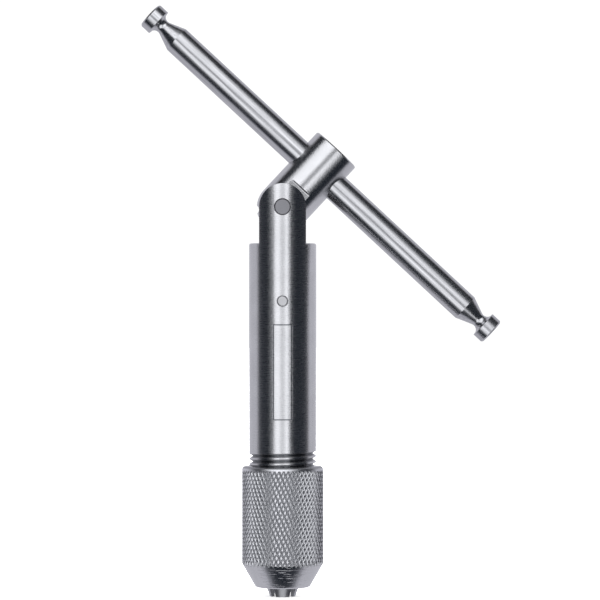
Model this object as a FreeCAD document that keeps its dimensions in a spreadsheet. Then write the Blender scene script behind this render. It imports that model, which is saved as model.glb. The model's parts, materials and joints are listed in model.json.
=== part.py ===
"""T-handle tap wrench: a barrel with a clevis, a swivel head with a sliding bar, and a four-jaw chuck.

Millimetres, +Z up. The origin is the centre of the plane of the jaw tips, where a tap goes in. The barrel's
axis is Z, the hinge pin runs along Y, and the head is tilted towards +X.
"""

import FreeCAD, Part
import math
import os
import re

import Sketcher

# Driving dimensions: alias, value in millimetres, degrees or turns, and what it is.
DIMENSIONS = (
    ("barrel_radius", 6.0, "outside of the barrel and crests of its thread"),
    ("barrel_bottom", 8.0, "height of the barrel's lower end, inside the cap"),
    ("thread_pitch", 1.0, "M12 x 1, right hand"),
    ("thread_depth", 0.6, "crest to root"),
    ("thread_root", 0.06, "flat at the bottom of the groove"),
    ("thread_flank", 30.0, "angle of each flank"),
    ("thread_start", 6.58, "height where the groove starts, on the +X side, below the barrel"),
    ("thread_top", 26.08, "height where the groove ends"),
    ("jaw_bore_radius", 4.25, "bore in the barrel that the jaws stand in"),
    ("jaw_bore_top", 23.0, "height of that bore's shoulder"),
    ("slot_floor", 63.0, "height of the floor of the clevis slot"),
    ("slot_half_width", 4.31, "half of the slot between the two ears"),
    ("shoulder_round", 0.35, "round on the shoulders beside the slot"),
    ("pivot_height", 69.4, "height of the hinge pin"),
    ("pin_radius", 1.5, "hinge pin"),
    ("pin_length", 11.7, "hinge pin, a little under the barrel's diameter"),
    ("stop_pin_height", 52.7, "height of the small cross pin"),
    ("stop_pin_radius", 1.0, "small cross pin"),
    ("stop_pin_length", 11.86, "small cross pin"),
    ("pin_chamfer", 0.2, "edge of both pins"),
    ("plunger_radius", 1.5, "detent plunger"),
    ("plunger_length", 5.0, "detent plunger with its domed tip"),
    ("plunger_bore_floor", 50.5, "height of the bottom of the plunger's bore"),
    ("running_clearance", 0.03, "radial clearance of pins and bars that turn or slide"),
    ("loose_clearance", 0.05, "radial clearance of the plunger, the ball and the cap"),
    ("label_half_width", 1.7, "blank label frame, across the barrel"),
    ("label_bottom", 31.6, "height of the lower side of the label frame"),
    ("label_top", 48.6, "height of the upper side of the label frame"),
    ("label_line", 0.2, "width of the engraved line"),
    ("label_depth", 0.08, "depth of the engraved line"),
    ("head_radius", 4.63, "swivel head and its round tongue"),
    ("head_tilt", 42.9, "rest angle of the head from the barrel, where a detent groove holds it"),
    ("tongue_half_width", 4.1, "half of the tongue across its flats"),
    ("tongue_shoulder", 4.85, "end of the flats above the pivot"),
    ("tongue_fillet", 0.35, "round in the corner at the end of the flats"),
    ("head_length", 14.15, "pivot to the head's end face"),
    ("head_chamfer", 0.2, "edge of the head's end face"),
    ("bar_offset", 9.1, "pivot to the bar's axis"),
    ("notch_radius", 0.9, "round detent grooves across the tongue"),
    ("notch_depth", 0.4, "round detent grooves across the tongue"),
    ("ball_radius", 1.2, "ball that holds the bar"),
    ("bar_radius", 2.5, "sliding bar and its end discs"),
    ("bar_length", 83.25, "sliding bar"),
    ("bar_shift", 0.85, "rest position of the bar's middle, past the head's axis"),
    ("disc_thickness", 2.05, "end discs of the bar"),
    ("disc_chamfer", 0.25, "edges of the end discs"),
    ("neck_radius", 1.26, "thinnest place behind an end disc"),
    ("neck_fillet", 1.07, "round between an end disc and the neck"),
    ("neck_angle", 21.5, "half angle of the cone from the neck to the bar"),
    ("cap_radius", 7.28, "crests of the cap's knurl"),
    ("cap_top", 23.25, "height of the cap's upper face"),
    ("cap_round", 0.6, "round on the cap's upper edge"),
    ("cap_floor", 5.8, "height of the shoulder inside the cap"),
    ("cap_countersink", 0.35, "mouth of the cap's thread"),
    ("nose_height", 1.63, "height of the cap's nose face"),
    ("nose_radius", 4.82, "corner between the nose face and the nose cone, before it is rounded"),
    ("nose_cone_angle", 30.0, "half angle of the cap's nose cone"),
    ("nose_round", 0.6, "round on the edge of the nose face"),
    ("jaw_nose_radius", 2.87, "jaw cone where it leaves the cap"),
    ("jaw_cone_angle", 20.0, "half angle of the jaws' cone"),
    ("jaw_cone_gap", 0.04, "radial gap between the jaws and the cap's cone"),
    ("jaw_radius", 4.15, "jaws inside the barrel"),
    ("jaw_length", 21.0, "jaw tips to the jaws' upper ends"),
    ("jaw_grip_radius", 1.6, "bore between the jaws"),
    ("jaw_slot_half_width", 0.52, "half of each diagonal slot between jaws"),
    ("seat_radius", 0.5, "spring seats drilled in the jaws' sides"),
    ("seat_depth", 1.4, "spring seats drilled in the jaws' sides"),
    ("seat_distance", 2.6, "spring seats from the barrel's axis"),
    ("seat_low", 12.0, "height of the lower pair of jaw springs"),
    ("seat_high", 15.0, "height of the upper pair of jaw springs"),
    ("jaw_spring_radius", 0.33, "mean radius of a jaw spring's coils"),
    ("jaw_spring_wire", 0.1, "radius of a jaw spring's wire"),
    ("jaw_closing", 1.0, "room for two neighbouring jaws to close on their spring"),
    ("detent_spring_radius", 1.1, "mean radius of the detent spring's coils"),
    ("detent_spring_wire", 0.2, "radius of the detent spring's wire"),
    ("bar_spring_radius", 0.8, "mean radius of the bar spring's coils"),
    ("bar_spring_wire", 0.14, "radius of the bar spring's wire"),
    ("detent_spring_coils", 5, "turns"),
    ("bar_spring_coils", 3, "turns"),
    ("jaw_spring_coils", 6, "turns"),
    ("ball_travel", 0.4, "room for the ball to sink on its spring"),
    ("plunger_travel", 0.6, "room for the detent plunger to sink on its spring"),
    ("cut_overrun", 0.1, "how far the outline of a cut runs past the metal"),
)

SHEET = "Dimensions"
ALIASES = {alias for alias, value, note in DIMENSIONS}
AXIS_X = FreeCAD.Vector(1, 0, 0)
AXIS_Y = FreeCAD.Vector(0, 1, 0)
AXIS_Z = FreeCAD.Vector(0, 0, 1)
JAW_SIDES = ("front", "right", "rear", "left")

# Directions square to the two slots beside the front jaw, in degrees from +X.
FRONT_TO_RIGHT = 45
RIGHT_TO_FRONT = 225
LEFT_TO_FRONT = -45


def add_sheet(doc):
    """The spreadsheet of driving dimensions, one row each."""
    sheet = doc.addObject("Spreadsheet::Sheet", SHEET)
    for row, (alias, value, note) in enumerate(DIMENSIONS, start=1):
        sheet.set(f"A{row}", note)
        sheet.set(f"B{row}", str(value))
        sheet.setAlias(f"B{row}", alias)
    doc.recompute()
    return sheet


def value_of(sheet, formula):
    """The number that a formula of sheet aliases comes to."""
    result = sheet.evalExpression(formula)
    return float(getattr(result, "Value", result))


def in_sheet(formula):
    """The formula with each alias written as a reference to the sheet, for use outside it."""
    return re.sub(r"[a-z_]+", lambda word: f"{SHEET}.{word[0]}" if word[0] in ALIASES else word[0], formula)


def bind(target, prop, formula):
    """Ties a property of an object to a formula of sheet aliases."""
    target.setExpression(prop, in_sheet(formula))


def add_body(doc, label):
    body = doc.addObject("PartDesign::Body", label)
    body.Label = label
    return body


def add_sketch(body, name, plane, loops=(), circles=()):
    """A fully constrained sketch on an origin plane of its body.

    A loop is a list of corners, each an (x, y) pair of formulas, or (x, y, radius, side) where an arc of that
    radius runs to the next corner, bulging to the left (1) or right (-1) of the straight line between them.
    A circle is (x, y, radius) in formulas.
    """
    sheet = body.Document.getObject(SHEET)
    sketch = body.newObject("Sketcher::SketchObject", f"{body.Name}_{name}")
    origin_plane = next(f for f in body.Origin.OriginFeatures if f.Role == plane)
    sketch.AttachmentSupport = [(origin_plane, "")]
    sketch.MapMode = "FlatFace"
    for loop in loops:
        add_loop(sheet, sketch, loop)
    for x, y, radius in circles:
        centre = FreeCAD.Vector(value_of(sheet, x), value_of(sheet, y), 0)
        edge = sketch.addGeometry(Part.Circle(centre, AXIS_Z, value_of(sheet, radius)), False)
        pin_point(sheet, sketch, edge, 3, x, y)
        constrain(sheet, sketch, "Radius", (edge,), radius)
    return sketch


def add_loop(sheet, sketch, corners):
    """One closed loop of lines and arcs, pinned at its corners."""
    points = [FreeCAD.Vector(value_of(sheet, c[0]), value_of(sheet, c[1]), 0) for c in corners]
    ends = []
    for index, corner in enumerate(corners):
        start, end = points[index], points[(index + 1) % len(points)]
        if len(corner) == 2:
            shape = Part.LineSegment(start, end)
        else:
            shape = Part.Arc(start, arc_middle(start, end, value_of(sheet, corner[2]), corner[3]), end)
        edge = sketch.addGeometry(shape, False)
        first = 1 if sketch.getPoint(edge, 1).distanceToPoint(start) < 1e-6 else 2
        ends.append((edge, first, 3 - first))
    for index, corner in enumerate(corners):
        edge, first, _ = ends[index]
        previous_edge, _, previous_last = ends[index - 1]
        sketch.addConstraint(Sketcher.Constraint("Coincident", previous_edge, previous_last, edge, first))
        pin_point(sheet, sketch, edge, first, corner[0], corner[1])
        if len(corner) > 2:
            constrain(sheet, sketch, "Radius", (edge,), corner[2])


def arc_middle(start, end, radius, side):
    """The middle point of the short arc from start to end."""
    chord = end - start
    rise = radius - math.sqrt(max(radius**2 - (chord.Length / 2) ** 2, 0.0))
    left = FreeCAD.Vector(-chord.y, chord.x, 0).normalize()
    return (start + end) * 0.5 + left * (rise * side)


def pin_point(sheet, sketch, edge, point, x, y):
    """Ties a point of a sketch edge to its two coordinates."""
    constrain(sheet, sketch, "DistanceX", (-1, 1, edge, point), x)
    constrain(sheet, sketch, "DistanceY", (-1, 1, edge, point), y)


def constrain(sheet, sketch, kind, where, formula):
    """A dimension of a sketch, tied to its formula."""
    number = sketch.addConstraint(Sketcher.Constraint(kind, *where, value_of(sheet, formula)))
    sketch.setExpression(f"Constraints[{number}]", in_sheet(formula))


def revolve(body, corners, axis="V_Axis"):
    """A full turn of an outline in the XZ plane about an axis of that sketch."""
    sketch = add_sketch(body, "outline", "XZ_Plane", [corners])
    turned = body.newObject("PartDesign::Revolution", f"{body.Name}_turned")
    turned.Profile = sketch
    turned.ReferenceAxis = (sketch, [axis])
    turned.Angle = 360
    body.Document.recompute()
    return turned


def cut_through(body, name, plane, loops=(), circles=()):
    """A cut right through the body, both ways from the sketch's plane."""
    before = body.Shape.Volume
    sketch = add_sketch(body, f"{name}_sketch", plane, loops, circles)
    pocket = body.newObject("PartDesign::Pocket", f"{body.Name}_{name}")
    pocket.Profile = sketch
    pocket.Type = "ThroughAll"
    pocket.Midplane = True
    body.Document.recompute()
    if not body.Shape.Volume < before:
        raise RuntimeError(f"{name} took nothing off {body.Label}")
    return pocket


def rectangle(left, bottom, right, top):
    """The four corners of a loop."""
    return [(left, bottom), (right, bottom), (right, top), (left, top)]


def cut_thread(body):
    """The barrel's right-hand thread: a V groove swept up a helix from just below the lower end."""
    root = "(barrel_radius - thread_depth)"
    outside = "(barrel_radius + cut_overrun)"
    half_root = "thread_root / 2"
    half_mouth = f"({half_root} + (thread_depth + cut_overrun) * tan(thread_flank))"
    groove = [
        (root, f"thread_start - {half_root}"),
        (outside, f"thread_start - {half_mouth}"),
        (outside, f"thread_start + {half_mouth}"),
        (root, f"thread_start + {half_root}"),
    ]
    before = body.Shape.Volume
    sketch = add_sketch(body, "thread_groove", "XZ_Plane", [groove])
    helix = body.newObject("PartDesign::SubtractiveHelix", f"{body.Name}_thread")
    helix.Profile = sketch
    helix.ReferenceAxis = (sketch, ["V_Axis"])
    helix.Mode = "pitch-height-angle"
    bind(helix, "Pitch", "thread_pitch")
    bind(helix, "Height", "thread_top - thread_start")
    body.Document.recompute()
    if not body.Shape.Volume < before:
        raise RuntimeError("the thread groove took nothing off the barrel")


def round_shoulders(body):
    """Rounds the outer edges where the slot's floor meets the outside of the barrel, one on each side."""
    sheet = body.Document.getObject(SHEET)
    floor = value_of(sheet, "slot_floor")
    radius = value_of(sheet, "barrel_radius")
    base = body.Tip
    names = []
    for number, edge in enumerate(base.Shape.Edges, start=1):
        level = all(abs(v.Z - floor) < 1e-4 for v in edge.Vertexes)
        if level and isinstance(edge.Curve, Part.Circle) and abs(edge.Curve.Radius - radius) < 1e-4:
            names.append(f"Edge{number}")
    if len(names) < 2:
        raise RuntimeError(f"expected an edge on each shoulder, found {len(names)}")
    fillet = body.newObject("PartDesign::Fillet", f"{body.Name}_shoulders")
    fillet.Base = (base, names)
    bind(fillet, "Radius", "shoulder_round")
    body.Document.recompute()


def label_groove(doc):
    """The thin engraved frame on the barrel's front, as the solid that is cut away."""
    frame = doc.addObject("Part::Box", "label_frame_outside")
    window = doc.addObject("Part::Box", "label_frame_window")
    for box, inset in ((frame, "0"), (window, "label_line")):
        bind(box, "Length", f"2 * (label_half_width - {inset})")
        bind(box, "Width", "barrel_radius")
        bind(box, "Height", f"label_top - label_bottom - 2 * {inset}")
        bind(box, "Placement.Base.x", f"{inset} - label_half_width")
        bind(box, "Placement.Base.y", "0 - barrel_radius - label_depth")
        bind(box, "Placement.Base.z", f"label_bottom + {inset}")
    core = doc.addObject("Part::Cylinder", "label_core")
    bind(core, "Radius", "barrel_radius - label_depth")
    bind(core, "Height", "pivot_height")
    lines = doc.addObject("Part::Cut", "label_lines")
    lines.Base = frame
    lines.Tool = window
    groove = doc.addObject("Part::Cut", "label_groove")
    groove.Base = lines
    groove.Tool = core
    return groove


def make_barrel(doc):
    """Barrel with the clevis, the cross holes, the plunger's bore, the jaws' bore and the thread."""
    body = add_body(doc, "barrel_blank")
    plunger_bore = "(plunger_radius + loose_clearance)"
    ear_radius = "sqrt(barrel_radius ^ 2 - slot_half_width ^ 2)"
    top = f"(pivot_height + {ear_radius})"
    revolve(body, [
        (plunger_bore, top),
        (plunger_bore, "plunger_bore_floor"),
        ("0", f"plunger_bore_floor - {plunger_bore} / 2"),
        ("0", "jaw_bore_top + jaw_bore_radius / 2"),
        ("jaw_bore_radius", "jaw_bore_top"),
        ("jaw_bore_radius", "barrel_bottom"),
        ("barrel_radius - thread_depth", "barrel_bottom"),
        ("barrel_radius", "barrel_bottom + thread_depth"),
        ("barrel_radius", top),
    ])
    cut_thread(body)
    above = f"({top} + cut_overrun)"
    beside = "(barrel_radius + cut_overrun)"
    cut_through(body, "clevis_slot", "YZ_Plane", [
        rectangle("0 - slot_half_width", "slot_floor", "slot_half_width", above),
    ])
    cut_through(body, "ear_ends", "XZ_Plane", [[
        (f"0 - {beside}", "pivot_height"),
        (f"0 - {ear_radius}", "pivot_height", ear_radius, 1),
        ("0", top, ear_radius, 1),
        (ear_radius, "pivot_height"),
        (beside, "pivot_height"),
        (beside, above),
        (f"0 - {beside}", above),
    ]])
    cut_through(body, "cross_holes", "XZ_Plane", circles=[
        ("0", "pivot_height", "pin_radius"),
        ("0", "stop_pin_height", "stop_pin_radius"),
    ])
    round_shoulders(body)
    barrel = doc.addObject("Part::Cut", "barrel")
    barrel.Label = "barrel"
    barrel.Base = body
    barrel.Tool = label_groove(doc)
    return barrel


def make_pin(doc, label, radius, length, height):
    """A straight pin along Y with chamfered ends, at its height on the barrel."""
    body = add_body(doc, label)
    end = f"({length} / 2)"
    revolve(body, [
        ("0", f"0 - {end}"),
        (f"{radius} - pin_chamfer", f"0 - {end}"),
        (radius, f"pin_chamfer - {end}"),
        (radius, f"{end} - pin_chamfer"),
        (f"{radius} - pin_chamfer", end),
        ("0", end),
    ])
    body.Placement = FreeCAD.Placement(FreeCAD.Vector(), FreeCAD.Rotation(AXIS_X, 90))
    bind(body, "Placement.Base.z", height)
    return body


def make_plunger(doc):
    """Detent plunger: a short rod whose domed tip stops just short of the tongue."""
    body = add_body(doc, "detent_plunger")
    revolve(body, [
        ("0", "0 - plunger_length"),
        ("plunger_radius - pin_chamfer", "0 - plunger_length"),
        ("plunger_radius", "pin_chamfer - plunger_length"),
        ("plunger_radius", "0 - plunger_radius", "plunger_radius", -1),
        ("0", "0"),
    ])
    bind(body, "Placement.Base.z", "pivot_height - head_radius - running_clearance")
    return body


def make_spring(doc, label, kind, length):
    """A coil spring up its own Z axis from its origin. The sheet holds its kind's radius, wire and turns."""
    coil_radius, wire_radius, coils = (f"{kind}_{size}" for size in ("radius", "wire", "coils"))
    body = add_body(doc, label)
    sketch = add_sketch(body, "wire", "XZ_Plane", circles=[(coil_radius, wire_radius, wire_radius)])
    helix = body.newObject("PartDesign::AdditiveHelix", f"{body.Name}_coil")
    helix.Profile = sketch
    helix.ReferenceAxis = (sketch, ["V_Axis"])
    helix.Mode = "pitch-height-angle"
    bind(helix, "Pitch", f"({length} - 2 * {wire_radius}) / {coils}")
    bind(helix, "Height", f"{length} - 2 * {wire_radius}")
    doc.recompute()
    return body


def head_placement(sheet):
    """Where the tilted head's own frame stands: origin on the pivot, Z along the head."""
    pivot = FreeCAD.Vector(0, 0, value_of(sheet, "pivot_height"))
    return FreeCAD.Placement(pivot, FreeCAD.Rotation(AXIS_Y, value_of(sheet, "head_tilt")))


def make_head(doc, placement):
    """Swivel head: a turned body with a ball-ended tongue, the bar's hole, the pin's hole and grooves."""
    body = add_body(doc, "head_blank")
    bore = "(ball_radius + loose_clearance)"
    revolve(body, [
        (bore, f"0 - sqrt(head_radius ^ 2 - {bore} ^ 2)", "head_radius", -1),
        ("head_radius", "0"),
        ("head_radius", "head_length - head_chamfer"),
        ("head_radius - head_chamfer", "head_length"),
        ("0", "head_length"),
        ("0", "bar_offset"),
        (bore, "bar_offset"),
    ])
    beside = "(head_radius + cut_overrun)"
    cut_through(body, "tongue_flats", "YZ_Plane", [
        [
            ("tongue_half_width", f"0 - {beside}"),
            (beside, f"0 - {beside}"),
            (beside, "tongue_shoulder"),
            ("tongue_half_width + tongue_fillet", "tongue_shoulder", "tongue_fillet", -1),
            ("tongue_half_width", "tongue_shoulder - tongue_fillet"),
        ],
        [
            (f"0 - {beside}", f"0 - {beside}"),
            ("0 - tongue_half_width", f"0 - {beside}"),
            ("0 - tongue_half_width", "tongue_shoulder - tongue_fillet", "tongue_fillet", -1),
            ("0 - tongue_half_width - tongue_fillet", "tongue_shoulder"),
            (f"0 - {beside}", "tongue_shoulder"),
        ],
    ])
    cut_through(body, "bar_hole", "YZ_Plane", circles=[
        ("0", "bar_offset", "bar_radius + running_clearance"),
    ])
    groove_centre = "(head_radius - notch_depth + notch_radius)"
    across = f"{groove_centre} * sin(head_tilt)"
    down = f"0 - {groove_centre} * cos(head_tilt)"
    cut_through(body, "pin_hole_and_grooves", "XZ_Plane", circles=[
        ("0", "0", "pin_radius + running_clearance"),
        (across, down, "notch_radius"),
        (f"0 - {across}", down, "notch_radius"),
    ])
    body.Label = "swivel_head"
    body.Placement = placement
    return body


def make_detent_spring(doc):
    """Spring between the stop pin and the foot of the detent plunger."""
    rest = "(stop_pin_height + stop_pin_radius + running_clearance)"
    plunger_foot = "(pivot_height - head_radius - running_clearance - plunger_length)"
    length = f"({plunger_foot} - plunger_travel - {rest})"
    spring = make_spring(doc, "detent_spring", "detent_spring", length)
    bind(spring, "Placement.Base.z", rest)
    return spring


def make_bar_spring(doc, placement):
    """Spring between the hinge pin and the ball that holds the bar."""
    sheet = doc.getObject(SHEET)
    rest = "(pin_radius + running_clearance)"
    ball_foot = "(bar_offset - bar_radius - running_clearance - 2 * ball_radius)"
    length = f"({ball_foot} - ball_travel - {rest})"
    spring = make_spring(doc, "bar_spring", "bar_spring", length)
    spring.Placement = placement * FreeCAD.Placement(AXIS_Z * value_of(sheet, rest), FreeCAD.Rotation())
    return spring


def make_ball(doc, placement):
    """Ball that the spring presses on the bar from the pivot's side."""
    sheet = doc.getObject(SHEET)
    ball = doc.addObject("Part::Sphere", "bar_ball")
    ball.Label = "bar_ball"
    bind(ball, "Radius", "ball_radius")
    centre = value_of(sheet, "bar_offset - bar_radius - running_clearance - ball_radius")
    ball.Placement = placement * FreeCAD.Placement(AXIS_Z * centre, FreeCAD.Rotation())
    return ball


def make_bar(doc, placement):
    """Sliding bar: straight, with a waisted neck and a thick disc at each end."""
    sheet = doc.getObject(SHEET)
    body = add_body(doc, "handle_bar")
    end = "(bar_length / 2)"
    arc_centre = "(disc_thickness + neck_fillet)"
    arc_end = f"({arc_centre} + neck_fillet * sin(neck_angle))"
    arc_end_radius = "(neck_radius + neck_fillet * (1 - cos(neck_angle)))"
    cone_end = f"({arc_end} + (bar_radius - {arc_end_radius}) / tan(neck_angle))"
    revolve(body, [
        (f"0 - {end}", "0"),
        (f"0 - {end}", "bar_radius - disc_chamfer"),
        (f"disc_chamfer - {end}", "bar_radius"),
        (f"disc_thickness - {end}", "bar_radius"),
        (f"disc_thickness - {end}", "neck_radius + neck_fillet", "neck_fillet", -1),
        (f"{arc_centre} - {end}", "neck_radius", "neck_fillet", -1),
        (f"{arc_end} - {end}", arc_end_radius),
        (f"{cone_end} - {end}", "bar_radius"),
        (f"{end} - {cone_end}", "bar_radius"),
        (f"{end} - {arc_end}", arc_end_radius, "neck_fillet", -1),
        (f"{end} - {arc_centre}", "neck_radius", "neck_fillet", -1),
        (f"{end} - disc_thickness", "neck_radius + neck_fillet"),
        (f"{end} - disc_thickness", "bar_radius"),
        (f"{end} - disc_chamfer", "bar_radius"),
        (end, "bar_radius - disc_chamfer"),
        (end, "0"),
    ], axis="H_Axis")
    middle = AXIS_X * value_of(sheet, "bar_shift") + AXIS_Z * value_of(sheet, "bar_offset")
    body.Placement = placement * FreeCAD.Placement(middle, FreeCAD.Rotation())
    return body


def make_cap(doc):
    """Chuck cap: a sleeve that screws on the barrel, with a cone inside its nose that closes the jaws."""
    body = add_body(doc, "chuck_cap")
    nose_hole = "(jaw_nose_radius + jaw_cone_gap)"
    bore = "(barrel_radius + loose_clearance)"
    cone_top = "(nose_height + (cap_radius - nose_radius) / tan(nose_cone_angle))"
    # The round on the nose's edge touches the face and the cone this far from their corner.
    tangent = "(nose_round * tan(45 - nose_cone_angle / 2))"
    revolve(body, [
        (nose_hole, "nose_height"),
        (f"nose_radius - {tangent}", "nose_height", "nose_round", -1),
        (
            f"nose_radius + {tangent} * sin(nose_cone_angle)",
            f"nose_height + {tangent} * cos(nose_cone_angle)",
        ),
        ("cap_radius", cone_top),
        ("cap_radius", "cap_top - cap_round", "cap_round", -1),
        ("cap_radius - cap_round", "cap_top"),
        (f"{bore} + cap_countersink", "cap_top"),
        (bore, "cap_top - cap_countersink"),
        (bore, "cap_floor"),
        (f"{nose_hole} + (cap_floor - nose_height) * tan(jaw_cone_angle)", "cap_floor"),
    ])
    return body


def make_jaw(doc, side, turn):
    """One of four jaws: a quarter of a taper-nosed collet, with a spring seat in each of its sides."""
    body = add_body(doc, f"jaw_blank_{side}")
    cone_top = "(nose_height + (jaw_radius - jaw_nose_radius) / tan(jaw_cone_angle))"
    revolve(body, [
        ("jaw_grip_radius", "0"),
        ("jaw_nose_radius - nose_height * tan(jaw_cone_angle)", "0"),
        ("jaw_radius", cone_top),
        ("jaw_radius", "jaw_length"),
        ("jaw_grip_radius", "jaw_length"),
    ])
    # All but the quarter between two diagonal lines is cut away; the lines meet at the apex.
    apex = "(jaw_slot_half_width * sqrt(2))"
    outside = "(jaw_radius + cut_overrun)"
    cut_through(body, "quarter", "XY_Plane", [[
        ("0", f"0 - {apex}"),
        (f"{outside} - {apex}", f"0 - {outside}"),
        (outside, f"0 - {outside}"),
        (outside, outside),
        (f"0 - {outside}", outside),
        (f"0 - {outside}", f"0 - {outside}"),
        (f"{apex} - {outside}", f"0 - {outside}"),
    ]])
    # The seat towards +X holds the jaw's own spring; the one towards -X takes the neighbour's.
    own_height, other_height = spring_heights(turn)
    seats = doc.addObject("Part::MultiFuse", f"jaw_seats_{side}")
    seats.Shapes = [
        make_seat(doc, f"seat_own_{side}", own_height, 1, RIGHT_TO_FRONT),
        make_seat(doc, f"seat_other_{side}", other_height, -1, LEFT_TO_FRONT),
    ]
    jaw = doc.addObject("Part::Cut", f"jaw_{side}")
    jaw.Label = f"jaw_{side}"
    jaw.Base = body
    jaw.Tool = seats
    jaw.Placement = FreeCAD.Placement(FreeCAD.Vector(), FreeCAD.Rotation(AXIS_Z, turn))
    return jaw


def spring_heights(turn):
    """The heights of a jaw's own spring and of its neighbour's, which alternate round the chuck."""
    return ("seat_low", "seat_high") if turn % 180 == 0 else ("seat_high", "seat_low")


def across_slot(sheet, height, slot, direction):
    """A frame in the middle of the slot beside the front jaw, towards +X (slot 1) or -X (slot -1).

    Its Z axis points in the direction, an angle from +X that is square to the slot.
    """
    out = FreeCAD.Vector(slot, -1, 0).normalize() * value_of(sheet, "seat_distance")
    turned = FreeCAD.Rotation(AXIS_Z, direction) * FreeCAD.Rotation(AXIS_Y, 90)
    return FreeCAD.Placement(out + AXIS_Z * value_of(sheet, height), turned)


def make_seat(doc, name, height, slot, direction):
    """The drill that makes a spring seat, from the middle of the slot into the front jaw."""
    seat = doc.addObject("Part::Cylinder", name)
    bind(seat, "Radius", "seat_radius")
    bind(seat, "Height", "jaw_slot_half_width + seat_depth")
    seat.Placement = across_slot(doc.getObject(SHEET), height, slot, direction)
    return seat


def make_jaw_spring(doc, side, turn):
    """The spring between a jaw and the next one, seated in the jaw that carries it."""
    sheet = doc.getObject(SHEET)
    length = "(2 * (jaw_slot_half_width + seat_depth) - jaw_closing)"
    spring = make_spring(doc, f"jaw_spring_{side}", "jaw_spring", length)
    height, _ = spring_heights(turn)
    foot = FreeCAD.Vector(0, 0, -value_of(sheet, "jaw_slot_half_width + seat_depth"))
    seated = across_slot(sheet, height, 1, FRONT_TO_RIGHT) * FreeCAD.Placement(foot, FreeCAD.Rotation())
    spring.Placement = FreeCAD.Placement(FreeCAD.Vector(), FreeCAD.Rotation(AXIS_Z, turn)) * seated
    return spring


def main():
    doc = FreeCAD.newDocument("tap_wrench")
    sheet = add_sheet(doc)
    tilted = head_placement(sheet)
    parts = [
        make_barrel(doc),
        make_pin(doc, "hinge_pin", "pin_radius", "pin_length", "pivot_height"),
        make_pin(doc, "stop_pin", "stop_pin_radius", "stop_pin_length", "stop_pin_height"),
        make_plunger(doc),
        make_detent_spring(doc),
        make_head(doc, tilted),
        make_ball(doc, tilted),
        make_bar_spring(doc, tilted),
        make_bar(doc, tilted),
        make_cap(doc),
    ]
    for number, side in enumerate(JAW_SIDES):
        parts.append(make_jaw(doc, side, 90 * number))
        parts.append(make_jaw_spring(doc, side, 90 * number))
    doc.recompute()
    write_parts(doc, parts)


def write_parts(doc, parts):
    """Writes one STEP file for each sub-part, once every object is sound."""
    for thing in doc.Objects:
        if "Invalid" in thing.State or "Error" in thing.State:
            raise RuntimeError(f"{thing.Name} is {thing.State}")
    for part in parts:
        if part.Shape.isNull() or not part.Shape.isValid():
            raise RuntimeError(f"{part.Label} has no valid shape")
    os.makedirs("parts", exist_ok=True)
    for part in parts:
        part.Shape.exportStep(f"parts/{part.Label}.step")
        print(part.Label, round(part.Shape.Volume, 2), part.Shape.BoundBox)


main()
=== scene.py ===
"""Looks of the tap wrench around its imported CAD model. Metres, +Z up, the jaw tips at z = 0.

The CAD nodes keep their shapes and get steel finishes. The cap is replaced by a copy whose diamond knurl is
real geometry. The studio is a dark room in front of the object and a white one behind it, with a soft box
round the camera, so that the bare steel shows the bright and dark bands it has under such light.
"""

import json
import math
from collections import namedtuple

import bmesh
import bpy
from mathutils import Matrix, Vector


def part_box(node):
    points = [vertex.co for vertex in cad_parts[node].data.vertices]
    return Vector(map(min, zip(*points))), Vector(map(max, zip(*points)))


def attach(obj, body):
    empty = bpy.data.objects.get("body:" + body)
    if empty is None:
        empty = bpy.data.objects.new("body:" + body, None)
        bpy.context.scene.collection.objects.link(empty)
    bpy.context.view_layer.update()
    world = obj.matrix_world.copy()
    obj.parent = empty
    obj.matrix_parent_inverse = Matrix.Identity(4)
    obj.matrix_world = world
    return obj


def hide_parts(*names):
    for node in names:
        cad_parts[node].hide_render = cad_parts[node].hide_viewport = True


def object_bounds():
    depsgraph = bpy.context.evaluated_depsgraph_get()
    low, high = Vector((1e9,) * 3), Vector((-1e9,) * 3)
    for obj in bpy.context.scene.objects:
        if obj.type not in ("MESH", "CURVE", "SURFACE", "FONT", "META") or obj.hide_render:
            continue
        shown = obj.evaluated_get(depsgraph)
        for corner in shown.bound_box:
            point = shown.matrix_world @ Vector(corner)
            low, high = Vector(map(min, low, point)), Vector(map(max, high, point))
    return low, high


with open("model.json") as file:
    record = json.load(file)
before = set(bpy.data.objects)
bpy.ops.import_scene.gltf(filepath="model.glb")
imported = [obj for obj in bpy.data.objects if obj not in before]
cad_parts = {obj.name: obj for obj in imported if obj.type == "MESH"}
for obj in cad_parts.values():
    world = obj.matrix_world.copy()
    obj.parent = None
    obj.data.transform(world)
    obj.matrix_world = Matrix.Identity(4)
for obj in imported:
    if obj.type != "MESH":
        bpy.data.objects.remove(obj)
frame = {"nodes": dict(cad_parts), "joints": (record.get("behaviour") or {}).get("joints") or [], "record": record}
cad_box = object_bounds()

MM = 0.001

# The hinge's place, and where the bar and the head point at rest, when the head leans towards +X.
PIVOT = Vector(next(j["pos_m"] for j in frame["joints"] if j["name"] == "head_tilt"))
BAR_AXIS = Vector(next(j["axis"] for j in frame["joints"] if j["name"] == "bar_slide")).normalized()
HEAD_AXIS = Vector(next(j["axis"] for j in frame["joints"] if j["name"] == "ball_slide")).normalized()
UP = Vector((0, 0, 1))
HINGE_AXIS = Vector((0, 1, 0))
ORIGIN = Vector((0, 0, 0))

# Camera: level, facing +Y, with a long lens.
CAMERA_DISTANCE = 0.580
CAMERA_SIDE = 0.0031
CAMERA_HEIGHT = 0.0529
CAMERA_NEAR = 0.01
FRAME_WIDTH = 0.1072
SENSOR_WIDTH = 36.0

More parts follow.
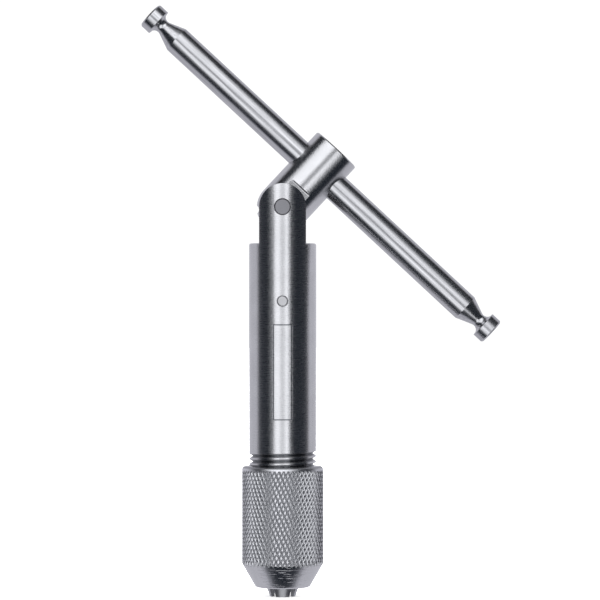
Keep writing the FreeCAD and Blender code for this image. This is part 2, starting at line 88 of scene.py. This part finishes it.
# Light of the studio as the steel mirrors it: the soft box, the dark room and the white wall behind. All else
# sees plain white light.
BOX_LIGHT = (1.55, 1.565, 1.61)
ROOM_LIGHT = (0.020, 0.025, 0.034)
BACK_LIGHT = (0.655, 0.655, 0.715)
PLAIN_LIGHT = 1.05

# A side of the soft box: how far out it is level with the object, how much further per unit up and down, and
# how soft its edge is. All of the box is drawn on a plane one unit in front of the object.
Side = namedtuple("Side", "sign width up down soft")
BOX_RIGHT = Side(1, 0.30, 0.55, 0.42, 0.05)
BOX_LEFT = Side(-1, 0.50, 0.70, 0.15, 0.16)

# The soft edges at its top, its foot and its dark middle, and the light that is left past the top and in the
# middle. Directions that are hardly forward at all count as this far forward.
BOX_TOP = (1.7, 2.6)
BOX_FOOT = (-1.3, -0.7)
DARK_SPOT = (0.08, 0.28)
DIM_LIGHT = 0.12
LEAST_FORWARD = 0.02

# Where the dark room ends and the white wall begins, in the Y part of a direction, and how much sooner the
# wall begins for each unit down and to the left.
ROOM_EDGE = (-0.02, 0.06)
WALL_EDGE = (-0.02, 0.28)
WALL_LEAN = 0.30
WALL_SKEW = 0.05

# The floor, which lies just under the jaws' tips, and the lamp overhead.
FLOOR_HALF_WIDTH = 3.0
FLOOR_GAP = 0.02 * MM
FLOOR_COLOUR = (0.93, 0.93, 0.93)
FLOOR_ROUGHNESS = 0.9
FLOOR_GLOW = 0.6
LAMP_WIDTH = 3.0
LAMP_HEIGHT = 2.0
LAMP_POWER = 130.0

# Chuck cap, of the same sizes as its CAD node.
CAP_LOW, CAP_HIGH = (Vector(corner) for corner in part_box("chuck_cap"))
CAP_RADIUS = (CAP_HIGH.x - CAP_LOW.x) / 2
NOSE_RADIUS = 4.82 * MM
NOSE_CONE_ANGLE = math.radians(30)
NOSE_CONE_SLOPE = math.tan(NOSE_CONE_ANGLE)
NOSE_ROUND = 0.6 * MM
NOSE_HOLE_RADIUS = 2.91 * MM
INNER_CONE_SLOPE = math.tan(math.radians(20))
CAP_FLOOR = 5.8 * MM
CAP_BORE_RADIUS = 6.05 * MM
CAP_COUNTERSINK = 0.35 * MM
CAP_ROUND = 0.6 * MM
ROUND_STEPS = 5
SHARP_ANGLE = math.radians(24)

# Diamond knurl: two sets of V grooves that leave a flat top on each diamond, this part of its size. They run
# out within these distances, on the nose cone below and under the rim above.
KNURL_STARTS = 56
KNURL_DEPTH = 0.17 * MM
KNURL_RIGHT_ANGLE = math.radians(35)
KNURL_LEFT_ANGLE = math.radians(23)
KNURL_FLAT = 0.5
KNURL_LOW = CAP_LOW.z + (CAP_RADIUS - NOSE_RADIUS) / NOSE_CONE_SLOPE
KNURL_HIGH = CAP_HIGH.z - 0.72 * MM
RUN_OUT_LOW = 0.6 * MM
RUN_OUT_HIGH = 0.1 * MM

# The blank label frame is etched into the barrel between these heights.
BARREL_RADIUS = 6.0 * MM
LABEL_LOW = 31.0 * MM
LABEL_HIGH = 49.2 * MM
LABEL_DEPTH = 0.02 * MM

# The barrel's thread ends below this height.
THREAD_HIGH = 27.0 * MM
THREAD_DEPTH = 0.6 * MM

# Colours of the bare steel, of the shade painted into its knurl and thread grooves, and of the label frame's
# etched lines.
STEEL = (0.61, 0.61, 0.62)
STEEL_BRIGHT = (0.72, 0.72, 0.74)
STEEL_BAR = (0.54, 0.54, 0.555)
STEEL_DARK = (0.48, 0.485, 0.50)
STEEL_DULL = (0.26, 0.26, 0.275)
KNURL_GROOVE_PAINTED_SHADE = (0.36, 0.365, 0.38)
LABEL_INK = (0.22, 0.225, 0.24)
THREAD_PAINTED_SHADE = (0.27, 0.275, 0.29)

# A finish: the axis and the middle of its tool marks, its colour and roughness, how far highlights spread
# across the marks, and the strengths of the marks and of an even satin roughness.
Finish = namedtuple(
    "Finish", "axis middle tint roughness anisotropy grain satin lengthwise", defaults=(0.0, False)
)
FINISHES = {
    "barrel_steel": Finish(UP, ORIGIN, STEEL, 0.28, 1.0, 0.10, satin=0.20),
    "head_steel": Finish(HEAD_AXIS, PIVOT, STEEL, 0.21, 0.3, 1.0, satin=0.3),
    "bar_steel": Finish(BAR_AXIS, PIVOT, STEEL_BAR, 0.24, 0.2, 0.3, lengthwise=True),
    "nose_steel": Finish(UP, ORIGIN, STEEL, 0.17, 0.3, 0.3),
    "knurl_steel": Finish(UP, ORIGIN, STEEL_BRIGHT, 0.38, 0.3, 0.3),
    "jaw_steel": Finish(UP, ORIGIN, STEEL_DARK, 0.36, 0.3, 0.4),
    "pin_steel": Finish(HINGE_AXIS, ORIGIN, STEEL, 0.36, 0.0, 0.4),
    "dull_steel": Finish(HINGE_AXIS, ORIGIN, STEEL_DULL, 0.42, 0.0, 0.6),
    "spring_wire": Finish(UP, ORIGIN, STEEL_DARK, 0.35, 0.0, 0.2),
}

# Marks in the steel: how closely they lie per metre, as a pair along the piece's axis and across it or as one
# number in all directions, and how deep they are. Scratches show only above these levels of their noise.
TURNED_MARKS = (14000.0, 500.0)
DRAWN_MARKS = (120.0, 4000.0)
SCRATCHES = (7000.0, 420.0)
SATIN_DENSITY = 4200.0
CLOUD_DENSITY = 260.0
MARK_DEPTH = 0.004 * MM
SATIN_DEPTH = 0.05 * MM
SCRATCH_DEPTH = 0.03 * MM
SCRATCH_LEVELS = (0.60, 0.68)
SCRATCH_STRENGTH = 0.35

# How far the steel's colour strays from its mean in streaks and in clouds, between two levels of their noise.
COLOUR_LEVELS = (0.3, 0.7)
STREAK_CONTRAST = 0.22
CLOUD_CONTRAST = 0.05

# Roughness at the lowest noise, and how much it rises to the highest, as parts of the mean.
ROUGHNESS_BASE = 0.8
ROUGHNESS_SPREAD = 0.4

# Radius of the worn edges, and the samples their normals take.
EDGE_ROUND = 0.09 * MM
EDGE_SAMPLES = 4


# ---------------------------------------------------------------- node helpers


def new_material(name):
    material = bpy.data.materials.new(name)
    material.use_nodes = True
    return material


def put(tree, socket, value):
    """Links another socket to a socket, or sets it to a constant."""
    if isinstance(value, bpy.types.NodeSocket):
        tree.links.new(value, socket)
    else:
        socket.default_value = value


def math_node(tree, operation, *values):
    node = tree.nodes.new("ShaderNodeMath")
    node.operation = operation
    for socket, value in zip(node.inputs, values):
        put(tree, socket, value)
    return node.outputs["Value"]


def vector_math(tree, operation, *values):
    """A Vector Math node. Dot products and lengths come out as numbers, all else as vectors."""
    node = tree.nodes.new("ShaderNodeVectorMath")
    node.operation = operation
    for socket, value in zip(node.inputs, values):
        put(tree, socket, value)
    return node.outputs["Value" if operation in ("DOT_PRODUCT", "LENGTH") else "Vector"]


def scaled(tree, vector, factor):
    """A vector or colour times a number."""
    node = tree.nodes.new("ShaderNodeVectorMath")
    node.operation = "SCALE"
    put(tree, node.inputs[0], vector)
    put(tree, node.inputs["Scale"], factor)
    return node.outputs["Vector"]


def map_range(tree, value, source, target, smooth=False):
    """Takes the range source to the range target, and stays at the target's ends outside it."""
    node = tree.nodes.new("ShaderNodeMapRange")
    node.interpolation_type = "SMOOTHSTEP" if smooth else "LINEAR"
    put(tree, node.inputs["Value"], value)
    for name, number in zip(("From Min", "From Max", "To Min", "To Max"), (*source, *target)):
        node.inputs[name].default_value = number
    return node.outputs["Result"]


def mixed(tree, factor, first, second):
    """A colour between two others."""
    node = tree.nodes.new("ShaderNodeMix")
    node.data_type = "RGBA"
    put(tree, node.inputs["Factor"], factor)
    put(tree, node.inputs["A"], first)
    put(tree, node.inputs["B"], second)
    return node.outputs["Result"]


def noise(tree, vector, scale, detail, roughness=0.5):
    node = tree.nodes.new("ShaderNodeTexNoise")
    put(tree, node.inputs["Vector"], vector)
    put(tree, node.inputs["Scale"], scale)
    put(tree, node.inputs["Detail"], detail)
    put(tree, node.inputs["Roughness"], roughness)
    return node.outputs["Fac"]


def bump(tree, height, distance, strength, normal):
    """Normals that also follow a height, on top of those given."""
    node = tree.nodes.new("ShaderNodeBump")
    put(tree, node.inputs["Strength"], strength)
    put(tree, node.inputs["Distance"], distance)
    put(tree, node.inputs["Height"], height)
    put(tree, node.inputs["Normal"], normal)
    return node.outputs["Normal"]


def stretched(tree, point, axis, along, around):
    """Scales a point's coordinates: by along in the axis direction and by around square to it."""
    shaft = scaled(tree, axis, vector_math(tree, "DOT_PRODUCT", point, axis))
    radial = vector_math(tree, "SUBTRACT", point, shaft)
    return vector_math(tree, "ADD", scaled(tree, shaft, along), scaled(tree, radial, around))


def between(tree, value, low, high):
    """1 where a value lies between two limits, else 0."""
    above = math_node(tree, "GREATER_THAN", value, low)
    below = math_node(tree, "LESS_THAN", value, high)
    return math_node(tree, "MULTIPLY", above, below)


def depth_below(tree, point, radius, depth):
    """0 on a cylinder round the Z axis, rising to 1 at this depth under its surface."""
    flat = vector_math(tree, "MULTIPLY", point, (1, 1, 0))
    distance = vector_math(tree, "LENGTH", flat)
    return map_range(tree, distance, (radius - depth, radius), (1.0, 0.0))


# ---------------------------------------------------------------- steel


# A steel's material, and the parts of its node tree that details are added to.
Steel = namedtuple("Steel", "material tree shader point")


def make_steel(name, finish):
    """Bare steel with fine tool marks round the finish's axis, or along it if lengthwise."""
    material = new_material(name)
    tree = material.node_tree
    shader = tree.nodes["Principled BSDF"]
    place = tree.nodes.new("ShaderNodeTexCoord")
    point = vector_math(tree, "SUBTRACT", place.outputs["Object"], tuple(finish.middle))
    marks = stretched(tree, point, tuple(finish.axis), *(DRAWN_MARKS if finish.lengthwise else TURNED_MARKS))
    fine = noise(tree, marks, 1.0, detail=3.0, roughness=0.6)

    patches = fine if finish.lengthwise else noise(tree, point, CLOUD_DENSITY, detail=3.0)
    contrast = STREAK_CONTRAST if finish.lengthwise else CLOUD_CONTRAST
    darker = (*(part * (1 - contrast) for part in finish.tint), 1)
    lighter = (*(min(part * (1 + contrast), 1) for part in finish.tint), 1)
    colour = mixed(tree, map_range(tree, patches, COLOUR_LEVELS, (0.0, 1.0)), darker, lighter)
    put(tree, shader.inputs["Base Color"], colour)
    put(tree, shader.inputs["Metallic"], 1.0)
    least = finish.roughness * ROUGHNESS_BASE
    rise = finish.roughness * ROUGHNESS_SPREAD
    put(tree, shader.inputs["Roughness"], math_node(tree, "MULTIPLY_ADD", fine, rise, least))

    put(tree, shader.inputs["Anisotropic"], finish.anisotropy)
    spread = vector_math(tree, "CROSS_PRODUCT", tuple(finish.axis), point)
    if not finish.lengthwise:
        spread = vector_math(tree, "CROSS_PRODUCT", place.outputs["Normal"], spread)
    put(tree, shader.inputs["Tangent"], in_world(tree, spread))

    surface = bump(tree, fine, MARK_DEPTH, finish.grain, worn_edges(tree))
    if finish.satin:
        peel = noise(tree, point, SATIN_DENSITY, detail=2.0, roughness=0.6)
        surface = bump(tree, peel, SATIN_DEPTH, finish.satin, surface)
    put(tree, shader.inputs["Normal"], surface)
    return Steel(material, tree, shader, point)


def in_world(tree, vector):
    """An object's own vector, turned as the object is in the world."""
    node = tree.nodes.new("ShaderNodeVectorTransform")
    node.vector_type = "VECTOR"
    node.convert_from = "OBJECT"
    node.convert_to = "WORLD"
    put(tree, node.inputs["Vector"], vector)
    return node.outputs["Vector"]


def worn_edges(tree):
    """Normals that turn smoothly over sharp edges, which gives each a thin bright line."""
    edges = tree.nodes.new("ShaderNodeBevel")
    edges.samples = EDGE_SAMPLES
    put(tree, edges.inputs["Radius"], EDGE_ROUND)
    return edges.outputs["Normal"]


def scratch(steel):
    """Adds a few light scratches round the Z axis."""
    tree = steel.tree
    lines = noise(tree, stretched(tree, steel.point, tuple(UP), *SCRATCHES), 1.0, detail=1.0)
    cut = map_range(tree, lines, SCRATCH_LEVELS, (0.0, 1.0))
    under = steel.shader.inputs["Normal"].links[0].from_socket
    put(tree, steel.shader.inputs["Normal"], bump(tree, cut, SCRATCH_DEPTH, SCRATCH_STRENGTH, under))


def shade(steel, mask, colour):
    """Turns the steel towards a darker colour by a mask."""
    plain = steel.shader.inputs["Base Color"].links[0].from_socket
    put(steel.tree, steel.shader.inputs["Base Color"], mixed(steel.tree, mask, plain, (*colour, 1)))


def darken_barrel(steel):
    """Paints shade into the thread's grooves, and darkens the etched lines of the label frame on the barrel's
    front.
    """
    tree = steel.tree
    split = tree.nodes.new("ShaderNodeSeparateXYZ")
    put(tree, split.inputs["Vector"], steel.point)
    _, y, z = split.outputs

    # Painted shade: the thread's grooves turn darker with depth below the barrel's surface.
    grooves = depth_below(tree, steel.point, BARREL_RADIUS, THREAD_DEPTH)
    threaded = between(tree, z, 0.0, THREAD_HIGH)
    shade(steel, math_node(tree, "MULTIPLY", grooves, threaded), THREAD_PAINTED_SHADE)

    lines = depth_below(tree, steel.point, BARREL_RADIUS - LABEL_DEPTH, LABEL_DEPTH)
    tall = between(tree, z, LABEL_LOW, LABEL_HIGH)
    wide = between(tree, y, -BARREL_RADIUS, -BARREL_RADIUS / 2)
    label = math_node(tree, "MULTIPLY", tall, wide)
    shade(steel, math_node(tree, "MULTIPLY", label, lines), LABEL_INK)


def paint_knurl_groove_shade(steel):
    """Paints shade into the knurl's grooves: the steel turns darker with depth below the crests."""
    shade(steel, depth_below(steel.tree, steel.point, CAP_RADIUS, KNURL_DEPTH), KNURL_GROOVE_PAINTED_SHADE)


def dress(node_name, steel):
    """Gives a CAD node its steel."""
    for slot in frame["nodes"][node_name].material_slots:
        slot.material = steel.material


# ---------------------------------------------------------------- chuck cap


def knurl(mesh):
    """The diamond knurl. Returns its lower and upper edge rows.

    Grooves cross at whole starts on even rows and at half starts on odd ones, and a diamond stands between.
    """
    pitch = 2 * math.pi * CAP_RADIUS / KNURL_STARTS
    right = math.tan(KNURL_RIGHT_ANGLE)
    left = math.tan(KNURL_LEFT_ANGLE)
    rows = round((KNURL_HIGH - KNURL_LOW) * (right + left) / pitch)
    rise = (KNURL_HIGH - KNURL_LOW) / rows
    lean = rise * (right - left) / 2
    root = CAP_RADIUS - KNURL_DEPTH

    def at(row, start, radius, height=None):
        angle = (start * pitch + row * lean) / CAP_RADIUS
        height = KNURL_LOW + row * rise if height is None else height
        return mesh.verts.new((radius * math.cos(angle), radius * math.sin(angle), height))

    crossings = []
    for row in range(rows + 1):
        # The lowest grooves run out on the nose cone, below the knurl's edge.
        height = KNURL_LOW - KNURL_DEPTH / NOSE_CONE_SLOPE if row == 0 else None
        shift = 0.5 * (row % 2)
        crossings.append([at(row, start + shift, root, height) for start in range(KNURL_STARTS)])

    edges = {0: [], rows: []}
    for row in range(rows + 1):
        odd = row % 2
        for start in range(KNURL_STARTS):
            middle = start + 0.5 * (1 - odd)
            first = (start - 1) % KNURL_STARTS if odd else start
            west, east = crossings[row][first], crossings[row][(first + 1) % KNURL_STARTS]
            flat_west = at(row, middle - KNURL_FLAT / 2, CAP_RADIUS)
            flat_east = at(row, middle + KNURL_FLAT / 2, CAP_RADIUS)
            if row > 0:
                south = crossings[row - 1][start]
                flat_south = at(row - KNURL_FLAT, middle, CAP_RADIUS)
                mesh.faces.new((south, flat_south, flat_west, west))
                mesh.faces.new((east, flat_east, flat_south, south))
                mesh.faces.new((flat_south, flat_east, flat_west))
            if row < rows:
                north = crossings[row + 1][start]
                flat_north = at(row + KNURL_FLAT, middle, CAP_RADIUS)
                mesh.faces.new((west, flat_west, flat_north, north))
                mesh.faces.new((north, flat_north, flat_east, east))
                mesh.faces.new((flat_west, flat_east, flat_north))
            if row in edges:
                edges[row] += [west, flat_west, flat_east]
    return edges[0], edges[rows]


def rounded(centre_radius, centre_height, size, turn_from, turn_to):
    """Points of the round of a cap edge, as (radius, height) at even angles about its centre."""
    turns = [turn_from + (turn_to - turn_from) * step / ROUND_STEPS for step in range(ROUND_STEPS + 1)]
    return [(centre_radius + size * math.cos(a), centre_height + size * math.sin(a)) for a in turns]


def outline_below():
    """Down the nose cone, round its edge, and up the inside to the mouth of the bore."""
    round_centre = NOSE_RADIUS - NOSE_ROUND * (1 - math.sin(NOSE_CONE_ANGLE)) / math.cos(NOSE_CONE_ANGLE)
    nose_edge = rounded(round_centre, CAP_LOW.z + NOSE_ROUND, NOSE_ROUND, -NOSE_CONE_ANGLE, -math.pi / 2)
    return [
        (CAP_RADIUS - RUN_OUT_LOW * NOSE_CONE_SLOPE, KNURL_LOW - RUN_OUT_LOW),
        *nose_edge,
        (NOSE_HOLE_RADIUS, CAP_LOW.z),
        (NOSE_HOLE_RADIUS + (CAP_FLOOR - CAP_LOW.z) * INNER_CONE_SLOPE, CAP_FLOOR),
        (CAP_BORE_RADIUS, CAP_FLOOR),
        (CAP_BORE_RADIUS, CAP_HIGH.z - CAP_COUNTERSINK),
    ]


def outline_above():
    """Up over the plain rim and its round edge, and inwards to the countersink."""
    return [
        (CAP_RADIUS, KNURL_HIGH + RUN_OUT_HIGH),
        *rounded(CAP_RADIUS - CAP_ROUND, CAP_HIGH.z - CAP_ROUND, CAP_ROUND, 0, math.pi / 2),
        (CAP_BORE_RADIUS + CAP_COUNTERSINK, CAP_HIGH.z),
    ]


def ring(mesh, edge, radius, height):
    """A ring whose vertices stand at the same angles as an edge's."""
    angles = [math.atan2(v.co.y, v.co.x) for v in edge]
    return [mesh.verts.new((radius * math.cos(a), radius * math.sin(a), height)) for a in angles]


def strip(mesh, low, high):
    """Joins two rings of as many vertices with quads that face outward when high is above low."""
    count = len(low)
    for i in range(count):
        j = (i + 1) % count
        mesh.faces.new((low[i], low[j], high[j], high[i]))


def match_offset(first, second):
    """How far round the second ring starts from the first one's first vertex."""
    angle = math.atan2(first[0].co.y, first[0].co.x)
    gaps = [abs(math.remainder(math.atan2(v.co.y, v.co.x) - angle, 2 * math.pi)) for v in second]
    return gaps.index(min(gaps))


def cap_mesh():
    """The cap as one closed mesh."""
    mesh = bmesh.new()
    low_edge, high_edge = knurl(mesh)
    below = low_edge
    for radius, height in outline_below():
        following = ring(mesh, low_edge, radius, height)
        strip(mesh, following, below)
        below = following
    above = high_edge
    for radius, height in outline_above():
        following = ring(mesh, high_edge, radius, height)
        strip(mesh, above, following)
        above = following
    turn = match_offset(above, below)
    strip(mesh, above, below[turn:] + below[:turn])

    mesh.normal_update()
    data = bpy.data.meshes.new("knurled_cap")
    mesh.to_mesh(data)
    mesh.free()
    return data


def make_cap(knurl_steel, plain_steel):
    """Knurled cap of the same sizes as its CAD node. Its knurl and rim differ in finish from the rest."""
    data = cap_mesh()
    data.materials.append(knurl_steel.material)
    data.materials.append(plain_steel.material)
    for polygon in data.polygons:
        polygon.use_smooth = True
        rough = polygon.center.z > KNURL_LOW and polygon.center.xy.length > CAP_RADIUS - CAP_ROUND
        polygon.material_index = 0 if rough else 1
    data.set_sharp_from_angle(angle=SHARP_ANGLE)
    cap = bpy.data.objects.new("knurled_cap", data)
    bpy.context.collection.objects.link(cap)
    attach(cap, "cap_body")
    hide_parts("chuck_cap")


# ---------------------------------------------------------------- studio


def soft_box(tree, x, y, z):
    """How much light the soft box sends from a direction: 1 inside it, and 0 past its sides and foot.

    It is dim past its top, and in its middle, where a lens looks through it.
    """
    # On a plane in front of the object, one unit off: across is to the right, high is up.
    forward = math_node(tree, "MAXIMUM", math_node(tree, "MULTIPLY", y, -1.0), LEAST_FORWARD)
    across = math_node(tree, "DIVIDE", x, forward)
    high = math_node(tree, "DIVIDE", z, forward)
    up = math_node(tree, "MAXIMUM", high, 0.0)
    down = math_node(tree, "MAXIMUM", math_node(tree, "MULTIPLY", high, -1.0), 0.0)

    box = 1.0
    for side in (BOX_RIGHT, BOX_LEFT):
        edge = math_node(tree, "MULTIPLY_ADD", up, side.up, side.width)
        edge = math_node(tree, "MULTIPLY_ADD", down, side.down, edge)
        reach = math_node(tree, "MULTIPLY_ADD", across, -side.sign, edge)
        inside = map_range(tree, reach, (-side.soft, side.soft), (0.0, 1.0), smooth=True)
        box = math_node(tree, "MULTIPLY", box, inside)

    across_squared = math_node(tree, "MULTIPLY", across, across)
    off_centre = math_node(tree, "SQRT", math_node(tree, "MULTIPLY_ADD", high, high, across_squared))
    for distance, limits, light in (
        (high, BOX_TOP, (1.0, DIM_LIGHT)),
        (high, BOX_FOOT, (0.0, 1.0)),
        (off_centre, DARK_SPOT, (DIM_LIGHT, 1.0)),
    ):
        box = math_node(tree, "MULTIPLY", box, map_range(tree, distance, limits, light, smooth=True))
    return box


def studio_light(tree):
    """The light from each direction: dark in front, with a soft box round the camera, and white behind."""
    place = tree.nodes.new("ShaderNodeTexCoord")
    split = tree.nodes.new("ShaderNodeSeparateXYZ")
    put(tree, split.inputs["Vector"], place.outputs["Generated"])
    x, y, z = split.outputs
    in_front = map_range(tree, y, ROOM_EDGE, (1.0, 0.0), smooth=True)
    box = math_node(tree, "MULTIPLY", soft_box(tree, x, y, z), in_front)

    # The white wall behind comes further round to the front low down, and on the left.
    wall = math_node(tree, "MULTIPLY_ADD", x, -WALL_SKEW, y)
    wall = math_node(tree, "MULTIPLY_ADD", z, -WALL_LEAN, wall)
    behind = map_range(tree, wall, WALL_EDGE, (0.0, 1.0), smooth=True)

    light = scaled(tree, BOX_LIGHT, box)
    for amount, colour in ((in_front, ROOM_LIGHT), (behind, BACK_LIGHT)):
        light = vector_math(tree, "ADD", light, scaled(tree, colour, amount))
    return light


def make_world():
    """Shows the studio to what is mirrored in the steel, and plain white to everything else."""
    world = bpy.data.worlds.new("studio")
    bpy.context.scene.world = world
    world.use_nodes = True
    tree = world.node_tree
    tree.nodes.clear()
    studio = tree.nodes.new("ShaderNodeBackground")
    put(tree, studio.inputs["Color"], studio_light(tree))
    plain = tree.nodes.new("ShaderNodeBackground")
    put(tree, plain.inputs["Color"], (1, 1, 1, 1))
    put(tree, plain.inputs["Strength"], PLAIN_LIGHT)
    path = tree.nodes.new("ShaderNodeLightPath")
    mix = tree.nodes.new("ShaderNodeMixShader")
    put(tree, mix.inputs["Fac"], path.outputs["Is Glossy Ray"])
    put(tree, mix.inputs[1], plain.outputs["Background"])
    put(tree, mix.inputs[2], studio.outputs["Background"])
    out = tree.nodes.new("ShaderNodeOutputWorld")
    put(tree, out.inputs["Surface"], mix.outputs["Shader"])


def make_floor():
    """Pale floor that the jaws' tips stand on. It lights nothing in the steel's reflections."""
    data = bpy.data.meshes.new("floor")
    half = FLOOR_HALF_WIDTH
    corners = [(-half, -half, 0), (half, -half, 0), (half, half, 0), (-half, half, 0)]
    data.from_pydata(corners, [], [(0, 1, 2, 3)])
    floor = bpy.data.objects.new("floor", data)
    floor.location.z = cad_box[0][2] - FLOOR_GAP
    bpy.context.collection.objects.link(floor)
    material = new_material("pale_floor")
    shader = material.node_tree.nodes["Principled BSDF"]
    shader.inputs["Base Color"].default_value = (*FLOOR_COLOUR, 1)
    shader.inputs["Roughness"].default_value = FLOOR_ROUGHNESS
    shader.inputs["Specular IOR Level"].default_value = 0.0
    shader.inputs["Emission Color"].default_value = (1, 1, 1, 1)
    shader.inputs["Emission Strength"].default_value = FLOOR_GLOW
    data.materials.append(material)
    floor.visible_glossy = False


def make_lamp():
    """A large soft lamp overhead that keeps the floor pale; the steel doesn't mirror it."""
    data = bpy.data.lights.new("overhead", "AREA")
    data.shape = "DISK"
    data.size = LAMP_WIDTH
    data.energy = LAMP_POWER
    lamp = bpy.data.objects.new("overhead", data)
    lamp.location = (0, 0, LAMP_HEIGHT)
    lamp.visible_glossy = False
    bpy.context.collection.objects.link(lamp)


def make_camera():
    data = bpy.data.cameras.new("camera")
    data.sensor_width = SENSOR_WIDTH
    data.lens = SENSOR_WIDTH * CAMERA_DISTANCE / FRAME_WIDTH
    data.clip_start = CAMERA_NEAR
    camera = bpy.data.objects.new("camera", data)
    camera.location = (CAMERA_SIDE, -CAMERA_DISTANCE, CAMERA_HEIGHT)
    camera.rotation_euler = (math.radians(90), 0, 0)
    bpy.context.collection.objects.link(camera)
    bpy.context.scene.camera = camera


bpy.context.scene.view_settings.view_transform = "Standard"
make_camera()
make_world()
make_floor()
make_lamp()

steels = {name: make_steel(name, finish) for name, finish in FINISHES.items()}
# Painted shade in the thread's grooves, and the label frame's etched lines darkened.
darken_barrel(steels["barrel_steel"])
scratch(steels["nose_steel"])
# Painted shade in the knurl's grooves.
paint_knurl_groove_shade(steels["knurl_steel"])

# Most finishes have the name of a material slot in the record. The hinge pin is duller than the stop pin.
make_cap(steels["knurl_steel"], steels["nose_steel"])
for subpart in frame["record"]["subparts"]:
    if subpart["material_slot"] in steels:
        dress(subpart["node"], steels[subpart["material_slot"]])
dress("hinge_pin", steels["dull_steel"])
